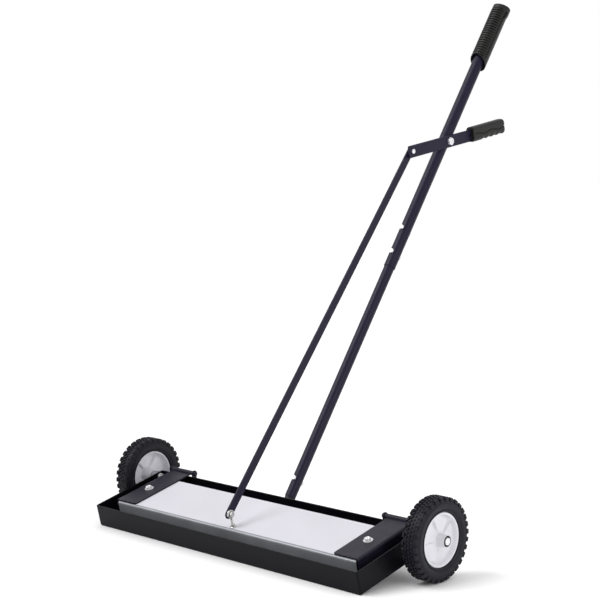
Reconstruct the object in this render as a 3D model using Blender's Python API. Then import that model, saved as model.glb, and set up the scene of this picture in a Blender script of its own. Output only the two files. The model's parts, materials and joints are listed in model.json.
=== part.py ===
"""Magnetic nail sweeper: a tray on wheels, a magnet that lifts out of it, and a handle with a lift lever.

Every dimension is in metres. The object is designed level, with the wheel axle's line at y = 0, z = 0,
+X along the axle and -Y towards the sweeping side. The empty named "stand" then tips the whole object
forward, the way it rests on a floor at z = 0: on its two wheels and the tray's front edge.
"""

from math import asin, atan2, cos, hypot, pi, radians, sin

import bmesh
import bpy
from mathutils import Vector

GAP = 0.0003  # between pieces that touch
RUNNING_FIT = 0.0001  # extra radius of a hole that turns on its pin

# Wheels
TYRE_RADIUS = 0.089
TYRE_WIDTH = 0.042
WHEEL_FACE_X = 0.468  # outer face of the tyre
BEAD_SEAT = 0.006  # how far in from each face the tyre sits on the hub
HUB_RADIUS = 0.057
HUB_WEB = (0.013, 0.016)  # its outer and inner face, in from the tyre's outer face
BOSS_RADIUS = 0.013
BOSS_END = 0.010  # beyond the tyre's outer face
CUP_RADIUS, CUP_FLOOR = 0.0114, 0.002  # recess round the bolt's head, and its floor beyond the tyre's face
AXLE_RADIUS = 0.005
AXLE_BOLT_HEAD = (0.015, 0.0062)  # across flats, height
AXLE_NUT_HEIGHT = 0.0075
AXLE_WASHER = (0.0110, 0.0016)  # radius, thickness
SLEEVE_RADIUS, SLEEVE_END = 0.0075, 0.0035  # its end beyond the tyre's outer face
SPACER_RADIUS = 0.0115
THREAD_LEFT = 0.002  # bolt that shows beyond its nut

# Debris tray
TRAY_HALF_LENGTH = 0.407
TRAY_FRONT, TRAY_REAR = -0.200, 0.012
TRAY_BOTTOM, TRAY_RIM = -0.040, 0.011
TRAY_SHEET = 0.0015
TRAY_HEM = 0.003
HEM_DEPTH = 0.0032
TRAY_CORNER = 0.004  # bend radius of the vertical corners
TRAY_FOLD = 0.0025  # bend radius along the bottom

# Magnet
MAGNET_HALF_LENGTH = 0.3705
MAGNET_FRONT, MAGNET_REAR = -0.162, -0.0185
COVER_TOP = 0.012
COVER_SHEET = 0.001
HOUSING_BOTTOM = -0.036
HOUSING_SHEET = 0.002
HOUSING_BEND = 0.0045
COVER_INSET = 0.0035  # from the housing's front and rear faces
BACKING_HALF_LENGTH = 0.366
BACKING_TOP, BACKING_SHEET = -0.0065, 0.003
BLOCKS = 5
BLOCK_PITCH = 0.130
BLOCK_SIZE = (0.118, 0.100, 0.022)

# End brackets, which join the magnet to its hinge
BRACKET_INNER_X, BRACKET_OUTER_X = 0.3085, 0.3768
BRACKET_FRONT, BRACKET_REAR = -0.160, 0.0140
BRACKET_SHEET = 0.003
BRACKET_BEND = 0.006
FLANGE_DROP = 0.036
FLANGE_REAR = -0.006
BRACKET_CHAMFER = 0.004  # at the inner front corner
BRACKET_BOLT = (0.342, -0.087)
BRACKET_BOLT_RADIUS = 0.004
BRACKET_BOLT_HEAD = (0.013, 0.0052)
BRACKET_NUT_HEIGHT = 0.0065
BRACKET_WASHER = (0.0105, 0.0016)

# Hinge at the tray's rear rim
HINGE_Y, HINGE_Z = 0.020, 0.0155
BARREL_RADIUS = 0.0055
BARREL_INNER_X = 0.3005
HINGE_PIN_RADIUS = 0.003
PIN_HEAD = (0.0058, 0.005)  # radius, height
LUG_RADIUS = 0.0075
LUG_SHEET = 0.003
LUG_FOOT = (-0.012, 0.004)  # height of its lower edge, and its depth there

# Handle
HANDLE_Y, HANDLE_Z = 0.0495, 0.011  # where its axis passes the height of the tray's rim
HANDLE_TILT = radians(48.4)  # from upright, in the level frame
SOCKET_TOP = 0.068
SOCKET_PLATE = (0.038, 0.0255, 0.003)  # half width, height below the rim, sheet
LOWER_START, LOWER_END = -0.018, 0.742
LOWER_RADIUS, LOWER_WALL = 0.0127, 0.0012
UPPER_START, UPPER_END = 0.588, 1.358
UPPER_RADIUS, UPPER_WALL = 0.0143, 0.0012
SOCKET_BOLT_AT = 0.024
SPLICE_BOLTS_AT = (0.6244, 0.6914)
TUBE_BOLT_RADIUS = 0.003
TUBE_BOLT_HEAD = (0.0105, 0.0042)
TUBE_NUT_HEIGHT = 0.0055
GRIP_START, GRIP_END = 1.1755, 1.364
GRIP_RADIUS = 0.0222
GRIP_FLARE, FLARE_LENGTH = 0.0250, 0.024  # radius at the free end, and how much of the end it takes

# Lift lever, pull rod and eyebolt
PIVOT_AT = 0.951  # along the handle
LEVER_SLOPE = radians(-4.3)
LEVER_FRONT, LEVER_REAR = -0.157, 0.204  # from the pivot, along the lever
LEVER_HEIGHT, LEVER_SHEET = 0.029, 0.004
LEVER_X = 0.0168
ROD_JOINT = -0.1424  # from the pivot, along the lever
ROD_WIDTH, ROD_SHEET = 0.019, 0.0036
ROD_END = 0.011  # metal beyond each hole
RIVET_SHOULDER = 0.003  # keeps the rod this far behind the lever
LEVER_GRIP = (0.086, 0.219)
LEVER_GRIP_HEIGHT, LEVER_GRIP_WIDTH = 0.038, 0.024
LEVER_GRIP_RISE = 0.0025  # of the grip's middle above the bar's
EYE_X, EYE_Y, EYE_Z = 0.0078, -0.152, 0.0425
EYE_RING, EYE_WIRE = 0.0076, 0.0026
EYE_NUTS = (0.010, 0.0060, 0.0045)  # across flats, height of the upper and of the lower one
EYE_FLANGE = 0.0068
LEVER_BOLT_RADIUS = 0.005
LEVER_BOLT_HEAD = (0.017, 0.0064)
LEVER_NUT = (0.016, 0.0075)
ROD_BOLT_RADIUS = 0.003
ROD_BOLT_HEAD = (0.011, 0.0040)
ROD_NUT = (0.0105, 0.0050)

BLACK_STEEL = ("black_powder_coat", (0.030, 0.029, 0.045), 0.38, 0.0)
BLACK_TRAY = ("black_tray_paint", (0.022, 0.022, 0.024), 0.34, 0.0)
ALUMINIUM = ("brushed_aluminium", (0.42, 0.43, 0.46), 0.36, 1.0)
PALE_SHEET = ("pale_cover_sheet", (0.75, 0.74, 0.79), 0.42, 0.0)
ZINC = ("zinc_plate", (0.72, 0.72, 0.74), 0.28, 1.0)
STEEL = ("mild_steel", (0.33, 0.33, 0.35), 0.45, 1.0)
FERRITE = ("ferrite", (0.045, 0.045, 0.05), 0.6, 0.0)
WHITE_PLASTIC = ("white_plastic", (0.80, 0.79, 0.83), 0.35, 0.0)
TYRE_RUBBER = ("tyre_rubber", (0.018, 0.018, 0.022), 0.62, 0.0)
GRIP_RUBBER = ("grip_rubber", (0.040, 0.040, 0.038), 0.60, 0.0)

ALONG_X = Vector((1, 0, 0))
ALONG_Z = Vector((0, 0, 1))
HANDLE_UP = Vector((0, sin(HANDLE_TILT), cos(HANDLE_TILT)))
HANDLE_FRONT = Vector((0, -cos(HANDLE_TILT), sin(HANDLE_TILT)))  # square to the handle, forward and up
LEVER_BACK = Vector((0, cos(LEVER_SLOPE), sin(LEVER_SLOPE)))
LEVER_UP = Vector((0, -sin(LEVER_SLOPE), cos(LEVER_SLOPE)))


def on_handle(along, outward=0.0):
    """A point on the handle's axis, or this far from it on the front side."""
    return Vector((0, HANDLE_Y, HANDLE_Z)) + HANDLE_UP * along + HANDLE_FRONT * outward


PIVOT = on_handle(PIVOT_AT)
ROD_TOP = PIVOT + LEVER_BACK * ROD_JOINT
EYE = Vector((EYE_X, EYE_Y, EYE_Z))
HINGE = Vector((0, HINGE_Y, HINGE_Z))


def clear_scene():
    for thing in list(bpy.data.objects):
        bpy.data.objects.remove(thing, do_unlink=True)


def material(finish):
    name, colour, roughness, metallic = finish
    found = bpy.data.materials.get(name)
    if found:
        return found
    made = bpy.data.materials.new(name)
    made.use_nodes = True
    shader = made.node_tree.nodes["Principled BSDF"]
    shader.inputs["Base Color"].default_value = (*colour, 1.0)
    shader.inputs["Roughness"].default_value = roughness
    shader.inputs["Metallic"].default_value = metallic
    made.diffuse_color = (*colour, 1.0)
    return made


def empty(name, place, parent=None):
    made = bpy.data.objects.new(name, None)
    made.location = place
    made.parent = parent
    bpy.context.scene.collection.objects.link(made)
    return made


def resting_pitch():
    """The forward tip at which the tray's front fold and both tyres stand on one floor."""
    reach = -TRAY_FRONT - TRAY_FOLD
    drop = -TRAY_BOTTOM - TRAY_FOLD
    return asin((TYRE_RADIUS - TRAY_FOLD) / hypot(reach, drop)) - atan2(drop, reach)


class Body:
    """A group of pieces that move as one. Its empty sits on the axis that the group turns about."""

    def __init__(self, name, centre, parent):
        self.centre = Vector(centre)
        offset = self.centre - parent.centre if parent else self.centre
        self.empty = empty(name, offset, parent.empty if parent else None)

    def add(self, name, mesh_data, finish, smooth_angle=35.0):
        """Turns a bmesh in level coordinates into an object whose origin is this body's centre."""
        bmesh.ops.recalc_face_normals(mesh_data, faces=mesh_data.faces)
        bmesh.ops.translate(mesh_data, verts=mesh_data.verts, vec=-self.centre)
        mesh = bpy.data.meshes.new(name)
        mesh_data.to_mesh(mesh)
        mesh_data.free()
        mesh.shade_smooth()
        mesh.set_sharp_from_angle(angle=radians(smooth_angle))
        mesh.materials.append(material(finish))
        made = bpy.data.objects.new(name, mesh)
        made.parent = self.empty
        bpy.context.scene.collection.objects.link(made)
        return made


def cut(target, mesh_data, body, label):
    """Subtracts a closed shape, given in level coordinates, from an object."""
    cutter = body.add(f"cutter_{target.name}_{label}", mesh_data, ZINC)
    cutter.hide_render = True
    cutter.display_type = "WIRE"
    boolean = target.modifiers.new(label, "BOOLEAN")
    boolean.operation = "DIFFERENCE"
    boolean.object = cutter


def join(target, mesh_data, body, label):
    """Fuses a closed shape, given in level coordinates, to an object."""
    added = body.add(f"joined_{target.name}_{label}", mesh_data, ZINC)
    added.hide_render = True
    added.display_type = "WIRE"
    boolean = target.modifiers.new(label, "BOOLEAN")
    boolean.operation = "UNION"
    boolean.object = added


def cross_axes(direction):
    """Two unit vectors square to a direction, so that the three are right-handed."""
    first = ALONG_X if abs(direction.x) < 0.5 else Vector((0, 1, 0))
    return first, direction.cross(first)


def skin(mesh_data, rings, closed_ring=False):
    """Bridges loops of equal count. The ends are capped, or the last loop meets the first."""
    count = len(rings[0])
    pairs = list(zip(rings, rings[1:]))
    if closed_ring:
        pairs.append((rings[-1], rings[0]))
    for low, high in pairs:
        for i in range(count):
            j = (i + 1) % count
            mesh_data.faces.new((low[i], low[j], high[j], high[i]))
    if not closed_ring:
        mesh_data.faces.new(list(reversed(rings[0])))
        mesh_data.faces.new(rings[-1])


def turned(profile, start, direction, sides=24, hollow=False, hexagon=()):
    """A shape of rings (distance along, radius). Rings whose index is in hexagon are six-sided."""
    first, second = cross_axes(direction)
    mesh_data = bmesh.new()
    rings = []
    for index, (along, radius) in enumerate(profile):
        ring = []
        for step in range(sides):
            angle = 2 * pi * step / sides
            reach = radius
            if index in hexagon:
                reach = radius / cos(angle % (pi / 3) - pi / 6)
            offset = first * (reach * cos(angle)) + second * (reach * sin(angle))
            ring.append(mesh_data.verts.new(start + direction * along + offset))
        rings.append(ring)
    skin(mesh_data, rings, closed_ring=hollow)
    return mesh_data


def tube(start, direction, low, high, outer, inner, sides=24):
    profile = ((low, outer), (high, outer), (high, inner), (low, inner))
    return turned(profile, start, direction, sides, hollow=True)


def rod(start, direction, low, high, radius, sides=16):
    return turned(((low, radius), (high, radius)), start, direction, sides)


def box(low, high):
    mesh_data = bmesh.new()
    rings = []
    for z in (low[2], high[2]):
        corners = ((low[0], low[1]), (high[0], low[1]), (high[0], high[1]), (low[0], high[1]))
        rings.append([mesh_data.verts.new((x, y, z)) for x, y in corners])
    skin(mesh_data, rings)
    return mesh_data


def extruded(outline, axes, offset, depth):
    """A prism. The outline's pairs run along the first two axes, and the depth along the third."""
    mesh_data = bmesh.new()
    rings = []
    for reach in depth:
        ring = []
        for a, b in outline:
            ring.append(mesh_data.verts.new(offset + axes[0] * a + axes[1] * b + axes[2] * reach))
        rings.append(ring)
    skin(mesh_data, rings)
    return mesh_data


def arc(centre, radius, start, end, steps):
    """Points of an arc, with both its ends, angles in degrees."""
    points = []
    for step in range(steps + 1):
        angle = radians(start + (end - start) * step / steps)
        points.append((centre[0] + radius * cos(angle), centre[1] + radius * sin(angle)))
    return points


def hex_bolt(body, name, head_base, outward, flats, head, radius, length, finish=ZINC):
    """A bolt whose head stands outward from head_base, and whose shank goes the other way."""
    half = flats / 2
    profile = (
        (-length, radius * 0.8),
        (-length + radius * 0.4, radius),
        (0, radius),
        (0, half),
        (head * 0.8, half),
        (head, half * 0.86),
    )
    body.add(name, turned(profile, head_base, outward, 12, hexagon=(3, 4)), finish)


def hex_nut(body, name, base, outward, flats, height, hole, finish=ZINC, flange=0.0):
    half = flats / 2
    profile = [(0, half), (height * 0.82, half), (height, half * 0.9), (height, hole), (0, hole)]
    sides = [0, 1]
    if flange:
        profile = [(0, flange), (height * 0.2, flange), (height * 0.3, half)] + profile[1:]
        sides = [2, 3]
    body.add(name, turned(profile, base, outward, 12, hollow=True, hexagon=sides), finish)


def washer(body, name, base, outward, radius, hole, height, finish=ZINC):
    body.add(name, tube(base, outward, 0, height, radius, hole, 20), finish)


def rounded_loop(mesh_data, inset, z):
    """One level loop of the tray, this far in from its outer faces."""
    half = TRAY_HALF_LENGTH - inset
    front, rear = TRAY_FRONT + inset, TRAY_REAR - inset
    bend = max(TRAY_CORNER - inset, 0.0008)
    corners = (
        (half - bend, rear - bend, 0),
        (bend - half, rear - bend, 90),
        (bend - half, front + bend, 180),
        (half - bend, front + bend, 270),
    )
    ring = []
    for x, y, start in corners:
        for px, py in arc((x, y), bend, start, start + 90, 3):
            ring.append(mesh_data.verts.new((px, py, z)))
    return ring


def make_tray(body):
    """An open pan of folded sheet, with a hem turned in round its rim."""
    sheet, fold = TRAY_SHEET, TRAY_FOLD
    outer_fold = arc((fold, TRAY_BOTTOM + fold), fold, 270, 180, 3)
    inner = fold - sheet
    inner_fold = arc((fold, TRAY_BOTTOM + fold), inner, 180, 270, 3)
    levels = outer_fold + [
        (0, TRAY_RIM - 0.0006),
        (0.0006, TRAY_RIM),
        (TRAY_HEM - 0.0006, TRAY_RIM),
        (TRAY_HEM, TRAY_RIM - 0.0006),
        (TRAY_HEM, TRAY_RIM - HEM_DEPTH),
        (sheet, TRAY_RIM - HEM_DEPTH - 0.0004),
    ]
    levels += inner_fold
    mesh_data = bmesh.new()
    skin(mesh_data, [rounded_loop(mesh_data, inset, z) for inset, z in levels])
    tray = body.add("tray", mesh_data, BLACK_TRAY)
    for side, label in ((-1, "left"), (1, "right")):
        start = Vector((side * (TRAY_HALF_LENGTH - 0.010), 0, 0))
        cutter = rod(start, ALONG_X * side, 0, 0.020, AXLE_RADIUS + GAP, 24)
        cut(tray, cutter, body, f"axle_{label}")


def make_hinge(body, magnet, side, label):
    """Two lugs on the tray, the bracket's barrel between them and the pin through all three."""
    outward = ALONG_X * side
    base_y = TRAY_REAR + GAP
    foot_z, foot_depth = LUG_FOOT
    outline = [(base_y, foot_z), (base_y + foot_depth, foot_z)]
    outline += arc((HINGE_Y, HINGE_Z), LUG_RADIUS, -20, 150, 9)
    outline += [(base_y, TRAY_RIM - 0.0005)]
    axes = (Vector((0, 1, 0)), ALONG_Z, outward)
    for place, inner in (("inner", BARREL_INNER_X - GAP - LUG_SHEET), ("outer", BRACKET_OUTER_X + GAP)):
        lug = extruded(outline, axes, Vector((0, 0, 0)), (inner, inner + LUG_SHEET))
        lug = body.add(f"tray_hinge_lug_{label}_{place}", lug, BLACK_STEEL)
        hole = rod(HINGE, outward, inner - 0.005, inner + 0.010, HINGE_PIN_RADIUS + GAP)
        cut(lug, hole, body, "pin_hole")
    pin_end = BRACKET_OUTER_X + GAP + LUG_SHEET + PIN_HEAD[1] * 0.8
    head = BARREL_INNER_X - GAP - LUG_SHEET - GAP
    radius, height = PIN_HEAD
    profile = (
        (head - height, radius * 0.52),
        (head - height * 0.84, radius * 0.83),
        (head - height * 0.5, radius),
        (head, radius),
        (head, HINGE_PIN_RADIUS),
        (pin_end - 0.001, HINGE_PIN_RADIUS),
        (pin_end, HINGE_PIN_RADIUS * 0.75),
    )
    body.add(f"hinge_pin_{label}", turned(profile, HINGE, outward, 16), BLACK_STEEL)
    inner_radius = HINGE_PIN_RADIUS + RUNNING_FIT
    barrel = tube(HINGE, outward, BARREL_INNER_X, BRACKET_OUTER_X, BARREL_RADIUS, inner_radius, 24)
    magnet.add(f"hinge_barrel_{label}", barrel, BLACK_STEEL)


def make_bracket(body, side, label):
    """A plate over the magnet's end, whose outer edge is bent down past the magnet."""
    bottom = COVER_TOP + GAP
    top = bottom + BRACKET_SHEET
    bend, sheet = BRACKET_BEND, BRACKET_SHEET
    centre = (BRACKET_OUTER_X - bend, top - bend)
    section = [(BRACKET_INNER_X, bottom), (BRACKET_INNER_X + 0.0006, top)]
    section += arc(centre, bend, 90, 0, 5)
    low = top - FLANGE_DROP
    section += [(BRACKET_OUTER_X, low), (BRACKET_OUTER_X - sheet, low)]
    section += arc(centre, bend - sheet, 0, 90, 5)
    axes = (ALONG_X * side, ALONG_Z, Vector((0, 1, 0)))
    plate = extruded(section, axes, Vector((0, 0, 0)), (BRACKET_FRONT, BRACKET_REAR))
    bracket = body.add(f"end_bracket_{label}", plate, BLACK_STEEL)
    wall = BRACKET_OUTER_X - BRACKET_BEND - 0.001
    low_corner = sorted((side * wall, side * (BRACKET_OUTER_X + 0.005)))
    notch = box((low_corner[0], FLANGE_REAR, low - 0.005), (low_corner[1], 0.03, TRAY_RIM + 0.0008))
    cut(bracket, notch, body, "rear_notch")
    corner = Vector((side * BRACKET_INNER_X, BRACKET_FRONT, 0))
    across = (ALONG_X * side, Vector((0, 1, 0)), ALONG_Z)
    beyond, reach = -BRACKET_CHAMFER / 2, BRACKET_CHAMFER * 1.5
    chamfer = extruded(((beyond, beyond), (reach, beyond), (beyond, reach)), across, corner, (0, 0.03))
    cut(bracket, chamfer, body, "corner_chamfer")
    bolt_at = Vector((side * BRACKET_BOLT[0], BRACKET_BOLT[1], 0))
    hole = BRACKET_BOLT_RADIUS + GAP
    cut(bracket, rod(bolt_at, ALONG_Z, bottom - 0.005, top + 0.005, hole), body, "bolt_hole")
    above = bolt_at + ALONG_Z * (top + GAP)
    radius, thickness = BRACKET_WASHER
    washer(body, f"bracket_washer_{label}", above, ALONG_Z, radius, hole, thickness)
    head_base = above + ALONG_Z * (thickness + GAP)
    flats, head = BRACKET_BOLT_HEAD
    below = bolt_at + ALONG_Z * (BACKING_TOP - BACKING_SHEET - GAP)
    length = head_base.z - below.z + BRACKET_NUT_HEIGHT + THREAD_LEFT
    hex_bolt(body, f"bracket_bolt_{label}", head_base, ALONG_Z, flats, head, BRACKET_BOLT_RADIUS, length)
    hex_nut(body, f"bracket_nut_{label}", below, -ALONG_Z, flats, BRACKET_NUT_HEIGHT, hole)


def make_magnet(body):
    """The aluminium channel, its cover, and the steel plate and ferrite blocks that it holds."""
    length = MAGNET_HALF_LENGTH
    front, rear = MAGNET_FRONT, MAGNET_REAR
    top = COVER_TOP - COVER_SHEET - GAP
    bend = HOUSING_BEND
    inner_bend = bend - HOUSING_SHEET
    low = HOUSING_BOTTOM
    wall = HOUSING_SHEET
    section = [(front, low)] + list(reversed(arc((front + bend, top - bend), bend, 90, 180, 3)))
    section += list(reversed(arc((rear - bend, top - bend), bend, 0, 90, 3))) + [(rear, low)]
    section += [(rear - wall, low)] + arc((rear - bend, top - bend), inner_bend, 0, 90, 3)
    section += arc((front + bend, top - bend), inner_bend, 90, 180, 3) + [(front + wall, low)]
    axes = (Vector((0, 1, 0)), ALONG_Z, ALONG_X)
    channel = extruded(section, axes, Vector((0, 0, 0)), (-length, length))
    housing = body.add("magnet_housing", channel, ALUMINIUM)
    inset = COVER_INSET
    sheet = box((-length, front + inset, COVER_TOP - COVER_SHEET), (length, rear - inset, COVER_TOP))
    cover = body.add("magnet_cover", sheet, PALE_SHEET)
    inner_front, inner_rear = front + wall + 0.001, rear - wall - 0.001
    plate_low = BACKING_TOP - BACKING_SHEET
    half = BACKING_HALF_LENGTH
    plate = box((-half, inner_front, plate_low), (half, inner_rear, BACKING_TOP))
    backing = body.add("backing_plate", plate, STEEL)
    for target in (housing, cover, backing):
        for side, label in ((-1, "left"), (1, "right")):
            at = Vector((side * BRACKET_BOLT[0], BRACKET_BOLT[1], 0))
            hole = rod(at, ALONG_Z, -0.015, 0.020, BRACKET_BOLT_RADIUS + GAP)
            cut(target, hole, body, f"bolt_{label}")
    for target in (housing, cover):
        cut(target, rod(EYE, ALONG_Z, -0.045, -0.025, EYE_WIRE + GAP), body, "eyebolt")
    middle = (front + rear) / 2
    block_top = plate_low - GAP
    for number in range(BLOCKS):
        x = (number - (BLOCKS - 1) / 2) * BLOCK_PITCH
        half_x, half_y = BLOCK_SIZE[0] / 2, BLOCK_SIZE[1] / 2
        corner = (x - half_x, middle - half_y, block_top - BLOCK_SIZE[2])
        block = box(corner, (x + half_x, middle + half_y, block_top))
        body.add(f"ferrite_magnet_{number + 1}", block, FERRITE)


def make_wheel(body, root, side, label):
    """Tyre and hub turn together on a sleeve, which the axle bolt clamps to the tray's side."""
    outward = ALONG_X * side
    outer = WHEEL_FACE_X
    inner = outer - TYRE_WIDTH
    origin = Vector((0, 0, 0))
    bead = HUB_RADIUS + GAP
    tread = TYRE_RADIUS
    seat = BEAD_SEAT
    profile = (
        (inner + seat, bead),
        (inner + 0.002, bead + 0.003),
        (inner + 0.001, 0.070),
        (inner + 0.002, tread - 0.009),
        (inner + 0.007, tread - 0.002),
        (inner + 0.013, tread),
        (outer - 0.013, tread),
        (outer - 0.007, tread - 0.002),
        (outer - 0.002, tread - 0.009),
        (outer - 0.001, 0.070),
        (outer - 0.002, bead + 0.003),
        (outer - seat, bead),
    )
    body.add(f"tyre_{label}", turned(profile, origin, outward, 48, hollow=True), TYRE_RUBBER)
    bore = SLEEVE_RADIUS + RUNNING_FIT
    rim = HUB_RADIUS
    outer_web, inner_web = (outer - depth for depth in HUB_WEB)
    hub_profile = (
        (inner + seat + 0.001, rim),
        (outer - seat - 0.001, rim),
        (outer - 0.0045, rim - 0.002),
        (outer - 0.008, rim - 0.006),
        (outer_web + 0.002, rim - 0.009),
        (outer_web, rim - 0.019),
        (outer_web, BOSS_RADIUS + 0.006),
        (outer_web + 0.003, BOSS_RADIUS + 0.001),
        (outer + BOSS_END, BOSS_RADIUS),
        (outer + BOSS_END, CUP_RADIUS),
        (outer + CUP_FLOOR, CUP_RADIUS),
        (outer + CUP_FLOOR, bore),
        (inner + 0.0005, bore),
        (inner + 0.0005, BOSS_RADIUS),
        (inner_web, BOSS_RADIUS + 0.002),
        (inner_web, rim - 0.010),
        (inner_web - 0.003, rim - 0.006),
        (inner + 0.0065, rim - 0.004),
    )
    hub = turned(hub_profile, origin, outward, 40, hollow=True)
    body.add(f"wheel_hub_{label}", hub, WHITE_PLASTIC)
    wall = TRAY_HALF_LENGTH
    sleeve_end = outer + SLEEVE_END
    hole = AXLE_RADIUS + GAP
    sleeve = tube(origin, outward, wall + GAP, sleeve_end, SLEEVE_RADIUS, hole)
    root.add(f"axle_sleeve_{label}", sleeve, ZINC)
    spacer = tube(origin, outward, wall + GAP, inner - 0.001, SPACER_RADIUS, SLEEVE_RADIUS + GAP, 20)
    root.add(f"axle_spacer_{label}", spacer, BLACK_STEEL)
    out_base = outward * (sleeve_end + GAP)
    radius, thickness = AXLE_WASHER
    washer(root, f"axle_washer_{label}", out_base, outward, radius, hole, thickness, BLACK_STEEL)
    head_base = outward * (sleeve_end + thickness + 2 * GAP)
    nut_base = outward * (wall - TRAY_SHEET - GAP)
    flats, head = AXLE_BOLT_HEAD
    length = (head_base - nut_base).length + AXLE_NUT_HEIGHT + THREAD_LEFT
    hex_bolt(root, f"axle_bolt_{label}", head_base, outward, flats, head, AXLE_RADIUS, length)
    hex_nut(root, f"axle_nut_{label}", nut_base, -outward, flats, AXLE_NUT_HEIGHT, hole)


def make_handle(body):
    """A socket on the tray's rear wall, and two tubes that sleeve together above it."""
    half, drop, sheet = SOCKET_PLATE
    near = TRAY_REAR + GAP
    plate = box((-half, near, TRAY_RIM - drop - 0.012), (half, near + sheet, TRAY_RIM - 0.004))
    socket = body.add("handle_socket", plate, BLACK_STEEL)
    stub_radius = LOWER_RADIUS - LOWER_WALL - GAP
    start = on_handle(0)
    base = (near + sheet / 2 - start.y) / HANDLE_UP.y
    shallow = stub_radius * cos(HANDLE_TILT) / sin(HANDLE_TILT)
    join(socket, rod(start, HANDLE_UP, base - shallow, SOCKET_TOP, stub_radius, 24), body, "stub")
    tray_side = box((-half, near - 0.03, -0.08), (half, near, 0.08))
    cut(socket, tray_side, body, "flush_face")
    crossing = on_handle(SOCKET_BOLT_AT)
    hole = TUBE_BOLT_RADIUS + GAP
    cut(socket, rod(crossing, HANDLE_FRONT, -0.03, 0.03, hole), body, "bolt_hole")

    lower = tube(start, HANDLE_UP, LOWER_START, LOWER_END, LOWER_RADIUS, LOWER_RADIUS - LOWER_WALL, 32)
    lower = body.add("lower_tube", lower, BLACK_STEEL)
    upper = tube(start, HANDLE_UP, UPPER_START, UPPER_END, UPPER_RADIUS, UPPER_RADIUS - UPPER_WALL, 32)
    upper = body.add("upper_tube", upper, BLACK_STEEL)
    places = [("socket", SOCKET_BOLT_AT, LOWER_RADIUS, (lower,))]
    for number, along in enumerate(SPLICE_BOLTS_AT):
        places.append((f"splice_{number + 1}", along, UPPER_RADIUS, (lower, upper)))
    flats, head = TUBE_BOLT_HEAD
    for label, along, radius, pierced in places:
        crossing = on_handle(along)
        for target in pierced:
            cut(target, rod(crossing, HANDLE_FRONT, -0.03, 0.03, hole), body, f"{label}_hole")
        head_base = on_handle(along, radius + GAP)
        nut_base = on_handle(along, -radius - GAP)
        length = 2 * (radius + GAP) + TUBE_NUT_HEIGHT + THREAD_LEFT
        hex_bolt(body, f"{label}_bolt", head_base, HANDLE_FRONT, flats, head, TUBE_BOLT_RADIUS, length)
        hex_nut(body, f"{label}_nut", nut_base, -HANDLE_FRONT, flats, TUBE_NUT_HEIGHT, hole)
    pivot_hole = rod(PIVOT, ALONG_X, -0.03, 0.03, LEVER_BOLT_RADIUS + GAP)
    cut(upper, pivot_hole, body, "pivot_hole")

    inner = UPPER_RADIUS + GAP
    grip_profile = (
        (GRIP_START, inner),
        (GRIP_START, GRIP_RADIUS - 0.003),
        (GRIP_START + 0.006, GRIP_RADIUS),
        (GRIP_END - FLARE_LENGTH, GRIP_RADIUS),
        (GRIP_END - 0.006, GRIP_FLARE),
        (GRIP_END, GRIP_FLARE - 0.005),
        (GRIP_END, 0.003),
        (UPPER_END + GAP, 0.003),
        (UPPER_END + GAP, inner),
    )
    body.add("handle_grip", turned(grip_profile, start, HANDLE_UP, 32, hollow=True), GRIP_RUBBER)
    head_base = PIVOT + ALONG_X * (LEVER_X + LEVER_SHEET / 2 + GAP)
    nut_base = PIVOT - ALONG_X * (UPPER_RADIUS + GAP)
    flats, height = LEVER_NUT
    length = head_base.x - nut_base.x + height + THREAD_LEFT
    hex_bolt(body, "lever_pivot_bolt", head_base, ALONG_X, *LEVER_BOLT_HEAD, LEVER_BOLT_RADIUS, length)
    hex_nut(body, "lever_pivot_nut", nut_base, -ALONG_X, flats, height, LEVER_BOLT_RADIUS + GAP)


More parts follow.
